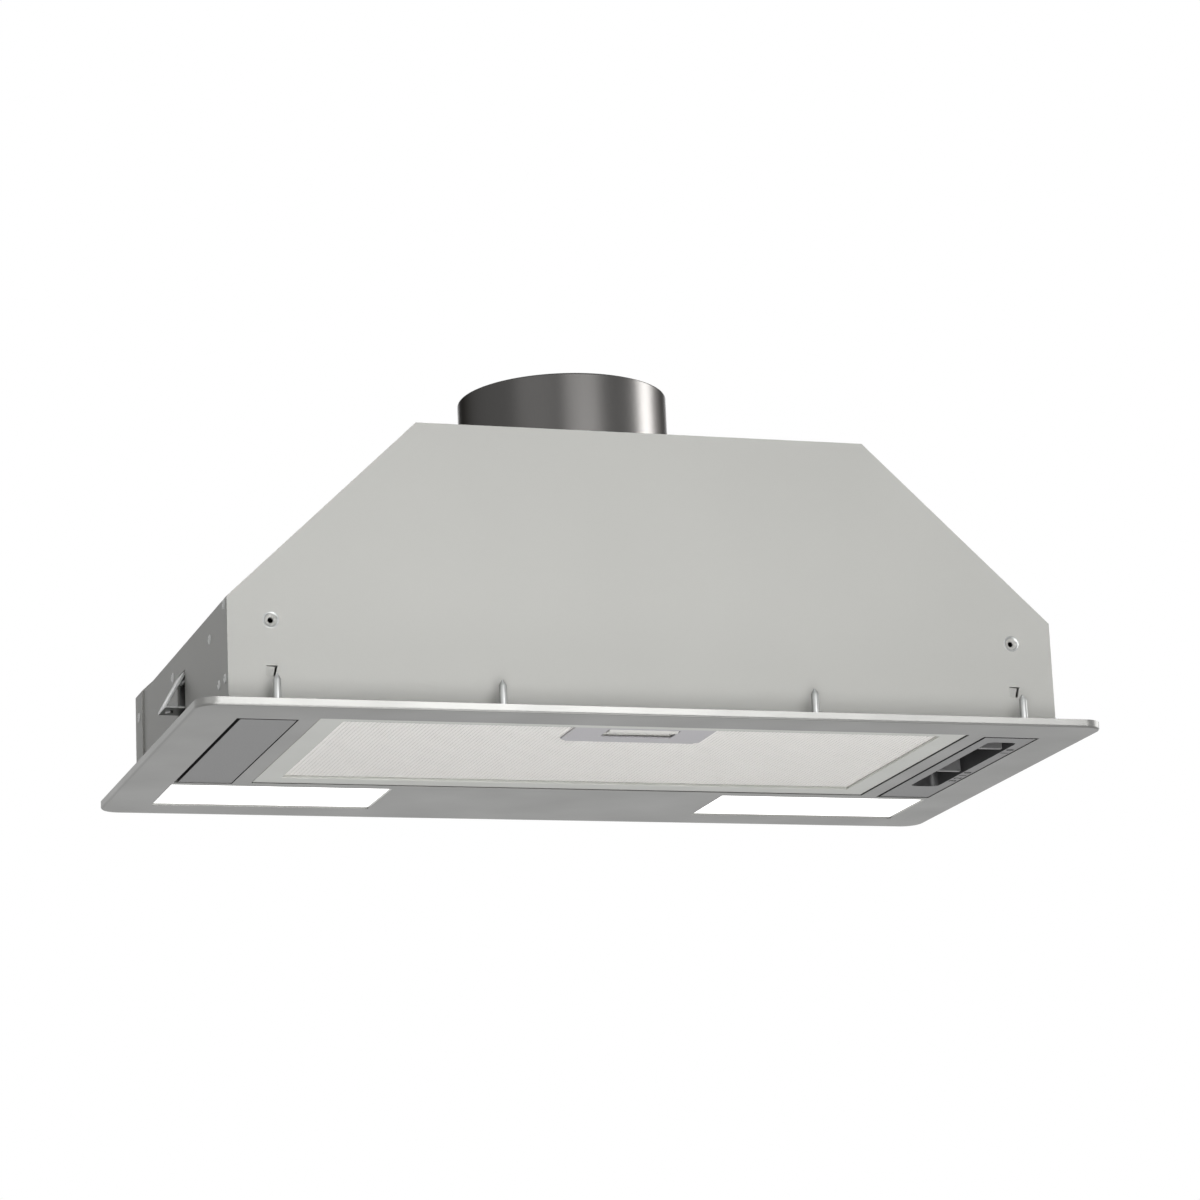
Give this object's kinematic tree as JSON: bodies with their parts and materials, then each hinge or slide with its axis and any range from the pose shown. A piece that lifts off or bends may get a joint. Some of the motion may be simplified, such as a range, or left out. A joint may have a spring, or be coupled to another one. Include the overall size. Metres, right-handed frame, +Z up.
{
  "type": "built-in canopy range hood",
  "caption": "Built-in range hood for a wall cabinet: lit face plate with grease filter and slider controls, tapered sheet canopy, blower and round duct collar with back-draught flaps",
  "frame": {"origin": "middle of the face plate's underside", "axes": "+X along the face plate to the right, +Y from the near edge that carries the filter latch to the far edge, +Z up along the duct"},
  "size_m": [0.52, 0.29, 0.229],
  "materials": {
    "plate_steel": "fine brushed, satin",
    "canopy_sheet": "smooth satin light grey coating",
    "collar_steel": "brushed round the tube, semi-bright",
    "damper_sheet": "mill finish",
    "zinc_steel": "bright zinc",
    "scroll_sheet": "galvanised",
    "impeller_plastic": "moulded, matt",
    "motor_paint": "black enamel, satin",
    "mount_rubber": "matt",
    "white_plastic": "moulded, fine grain",
    "dark_plastic": "moulded, matt",
    "insert_plastic": "moulded, fine grain, satin",
    "slider_plastic": "moulded, satin",
    "light_board": "white solder mask, glossy",
    "light_lens": "opal, lit",
    "filter_alloy": "satin",
    "filter_mesh": "bright expanded metal",
    "latch_grey": "satin grey",
    "spring_steel": "bright wire",
    "lead_black": "matt sheath",
    "lead_white": "matt sheath"
  },
  "bodies": {
    "housing": {"face_plate": "plate_steel", "front_panel": "canopy_sheet", "rear_panel": "canopy_sheet", "top_panel": "canopy_sheet", "side_panel_left": "canopy_sheet", "side_panel_right": "canopy_sheet", "duct_collar": "collar_steel", "damper_rod": "zinc_steel", "collar_screws": "zinc_steel", "panel_rivets": "zinc_steel", "foot_nuts": "zinc_steel", "locating_pins": "zinc_steel", "scroll_wrap": "scroll_sheet", "scroll_plate_left": "scroll_sheet", "scroll_plate_right": "scroll_sheet", "inlet_rings": "scroll_sheet", "motor_can": "motor_paint", "motor_bracket": "zinc_steel", "motor_mounts": "mount_rubber", "motor_screws": "zinc_steel", "blower_screws": "zinc_steel", "capacitor": "white_plastic", "capacitor_clamp": "zinc_steel", "terminal_box": "white_plastic", "terminal_lid": "white_plastic", "terminal_block": "white_plastic", "cable_gland": "dark_plastic", "light_driver": "white_plastic", "lamp_housing_left": "white_plastic", "lamp_housing_right": "white_plastic", "light_board_left": "light_board", "light_board_right": "light_board", "lens_left": "light_lens", "lens_right": "light_lens", "control_insert": "insert_plastic", "light_switch": "dark_plastic", "speed_switch": "dark_plastic", "blank_insert": "insert_plastic", "clip_brackets": "zinc_steel", "clip_pins": "zinc_steel", "power_leads": "lead_black", "light_leads": "lead_white"},
    "impeller": {"impeller": "impeller_plastic", "motor_shaft": "zinc_steel"},
    "flap_front": {"damper_flap_front": "damper_sheet"},
    "flap_rear": {"damper_flap_rear": "damper_sheet"},
    "filter": {"filter_frame": "filter_alloy", "filter_net": "filter_mesh", "filter_pad": "filter_mesh", "filter_backing": "filter_mesh", "latch_plate": "latch_grey", "latch_tray": "filter_alloy", "latch_springs": "spring_steel"},
    "latch": {"latch_slider": "white_plastic"},
    "light_knob": {"light_slider": "slider_plastic"},
    "speed_knob": {"speed_slider": "slider_plastic"},
    "clip_left": {"side_clip_left": "zinc_steel", "clip_screw_left": "zinc_steel"},
    "clip_right": {"side_clip_right": "zinc_steel", "clip_screw_right": "zinc_steel"}
  },
  "joints": [
    {"name": "impeller_spin", "type": "hinge", "parent": "housing", "child": "impeller", "pos_m": [0, -0.03956, 0.103], "axis": [1, 0, 0], "continuous": true},
    {"name": "flap_front_hinge", "type": "hinge", "parent": "housing", "child": "flap_front", "pos_m": [0, 0.025, 0.1767], "axis": [-1, 0, 0], "range_deg": [0, 75]},
    {"name": "flap_rear_hinge", "type": "hinge", "parent": "housing", "child": "flap_rear", "pos_m": [0, 0.025, 0.1767], "axis": [1, 0, 0], "range_deg": [0, 75]},
    {"name": "filter_hinge", "type": "hinge", "parent": "housing", "child": "filter", "pos_m": [0, 0.0524, 0.0005], "axis": [1, 0, 0], "range_deg": [0, 70]},
    {"name": "latch_slide", "type": "slide", "parent": "filter", "child": "latch", "axis": [0, 1, 0], "range_m": [0, 0.005], "stiffness_N_per_m": 300, "springref_m": -0.004, "deforming": ["latch_springs"]},
    {"name": "light_slide", "type": "slide", "parent": "housing", "child": "light_knob", "axis": [0, 1, 0], "range_m": [0, 0.007]},
    {"name": "speed_slide", "type": "slide", "parent": "housing", "child": "speed_knob", "axis": [0, 1, 0], "range_m": [0, 0.0234]},
    {"name": "clip_left_hinge", "type": "hinge", "parent": "housing", "child": "clip_left", "pos_m": [-0.2364, -0.0015, 0.0475], "axis": [0, -1, 0], "range_deg": [0, 30], "stiffness_Nm_per_rad": 0.2, "springref_deg": -17.19},
    {"name": "clip_right_hinge", "type": "hinge", "parent": "housing", "child": "clip_right", "pos_m": [0.2364, -0.0015, 0.0475], "axis": [0, 1, 0], "range_deg": [0, 30], "stiffness_Nm_per_rad": 0.2, "springref_deg": -17.19}
  ]
}
